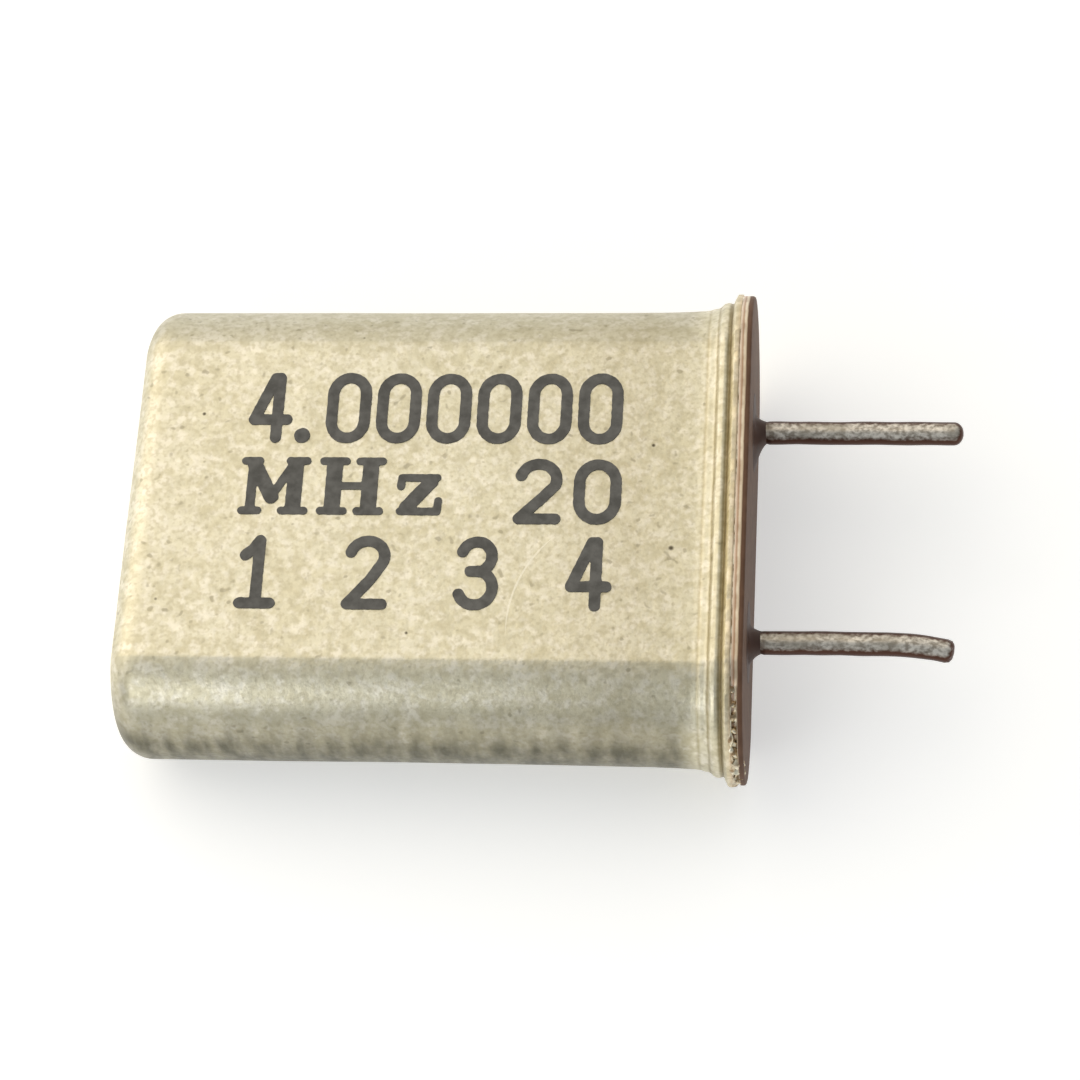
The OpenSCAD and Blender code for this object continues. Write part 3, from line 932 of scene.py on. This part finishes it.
def floor():
    """Pale floor that the part rests on, leaning on its flange and its closed end."""
    touch = Vector((-MOUTH_U - 0.1, 0, CAN_LOW.z - FLOOR_GAP))
    end = Vector((END_R - END_U, 0, END_R - HALF_T - FLOOR_GAP)) - touch
    lean = math.atan2(end.z, -end.x) - math.asin(END_R / end.length)
    bm = bmesh.new()
    bmesh.ops.create_circle(bm, cap_ends=True, segments=96, radius=FLOOR_R * MM)
    mesh = bpy.data.meshes.new("floor")
    bm.to_mesh(mesh)
    bm.free()
    made = bpy.data.objects.new("floor", mesh)
    made.matrix_world = Matrix.Translation(touch * MM) @ Matrix.Rotation(lean, 4, "Y")
    paper, tree, shader = finish_of("pale_paper", Roughness=0.9)[:3]
    shader.inputs["Base Color"].default_value = srgb("#F8F8F7")
    rays = add(tree, "ShaderNodeLightPath", {}).outputs
    seen = rays["Is Camera Ray"]
    for kind in ("Is Glossy Ray", "Is Transmission Ray"):
        seen = add(tree, "ShaderNodeMath", {0: seen, 1: rays[kind]},
                   operation="MAXIMUM").outputs["Value"]
    bleached = add(tree, "ShaderNodeMath", {0: seen, 1: FLOOR_BLEACH}, operation="MULTIPLY")
    shader.inputs["Emission Color"].default_value = srgb("#FFFFFF")
    tree.links.new(bleached.outputs["Value"], shader.inputs["Emission Strength"])
    mesh.materials.append(paper)
    bpy.context.scene.collection.objects.link(made)


def direction(azimuth, elevation):
    """Unit vector towards a place round the object: azimuth 0 is the near side, 90 the leads'."""
    a, e = math.radians(azimuth), math.radians(elevation)
    return Vector((math.sin(a) * math.cos(e), -math.cos(a) * math.cos(e), math.sin(e)))


def soft_world(near, far, bright):
    """Even pale surroundings, a little lighter beyond the part than on the near side."""
    world = bpy.data.worlds.new("soft_studio")
    world.use_nodes = True
    tree = world.node_tree
    way = add(tree, "ShaderNodeTexCoord", {}).outputs["Generated"]
    beyond = add(tree, "ShaderNodeVectorMath", {0: way, 1: direction(200, 20)},
                 operation="DOT_PRODUCT")
    share = add(tree, "ShaderNodeMapRange", {"Value": beyond.outputs["Value"], "From Min": -0.1,
                                             "From Max": 0.9}, interpolation_type="SMOOTHSTEP")
    tone = add(tree, "ShaderNodeMix", {SHARE: share.outputs["Result"], FIRST: near, SECOND: far},
               data_type="RGBA")
    back = tree.nodes["Background"]
    tree.links.new(tone.outputs[MIXED], back.inputs["Color"])
    back.inputs["Strength"].default_value = bright
    bpy.context.scene.world = world


def softbox(name, target, way, distance, size, brightness, colour):
    """Rectangular lamp aimed at a place; its brightness is that of its surface."""
    lamp = bpy.data.lights.new(name, "AREA")
    lamp.shape = "RECTANGLE"
    lamp.size, lamp.size_y = (length * MM for length in size)
    lamp.energy = brightness * math.pi * lamp.size * lamp.size_y
    lamp.color = srgb(colour)[:3]
    made = bpy.data.objects.new(name, lamp)
    towards = direction(*way)
    made.location = (Vector(target) + towards * distance) * MM
    made.rotation_mode = "QUATERNION"
    made.rotation_quaternion = towards.to_track_quat("Z", "Y")
    made.visible_camera = False
    bpy.context.scene.collection.objects.link(made)


# Where the camera stands, from the origin, and what it aims at
EYE = Vector((3, -27.92, 60.51))
EYE_AZIMUTH, EYE_ELEVATION, EYE_ROLL = 15.09, 64.56, 13.23
SENSOR, LENS = 36, 104.96


def camera():
    """Camera above the near side, turned so that the can lies level in the picture."""
    lens = bpy.data.cameras.new("camera")
    lens.sensor_width, lens.lens = SENSOR, LENS
    lens.clip_start, lens.clip_end = 0.005, 2
    made = bpy.data.objects.new("camera", lens)
    back = direction(EYE_AZIMUTH, EYE_ELEVATION)
    level = Vector((0, 0, 1)).cross(back).normalized()
    upright = back.cross(level)
    roll = math.radians(EYE_ROLL)
    right = level * math.cos(roll) - upright * math.sin(roll)
    turned = Matrix((right, back.cross(right), back)).transposed().to_4x4()
    made.matrix_world = Matrix.Translation(EYE * MM) @ turned
    bpy.context.scene.collection.objects.link(made)
    bpy.context.scene.camera = made


# Each lamp: name, place it is aimed at, azimuth and elevation it stands in, distance, width and
# height, brightness, colour
SOFTBOXES = (("key_softbox", (-4, 0, 0), (238, 44), 170, (170, 280), 0.64, "#FFF2DE"),
             ("left_softbox", (-6, 0, 0), (272, 30), 170, (150, 110), 0.5, "#FFF8EE"),
             ("back_softbox", (-6, 4, 0), (180, 16), 170, (260, 60), 0.4, "#FFF4E2"),
             ("strip_softbox", (-12.6, -5, 1), (-25, 32), 47, (24, 21), 2.3, "#FFFFFF"))

floor()
soft_world(srgb("#BCC1C5"), srgb("#FCFAF4"), 0.8)
for lamp_values in SOFTBOXES:
    softbox(*lamp_values)
camera()
bpy.context.scene.view_settings.view_transform = "Standard"
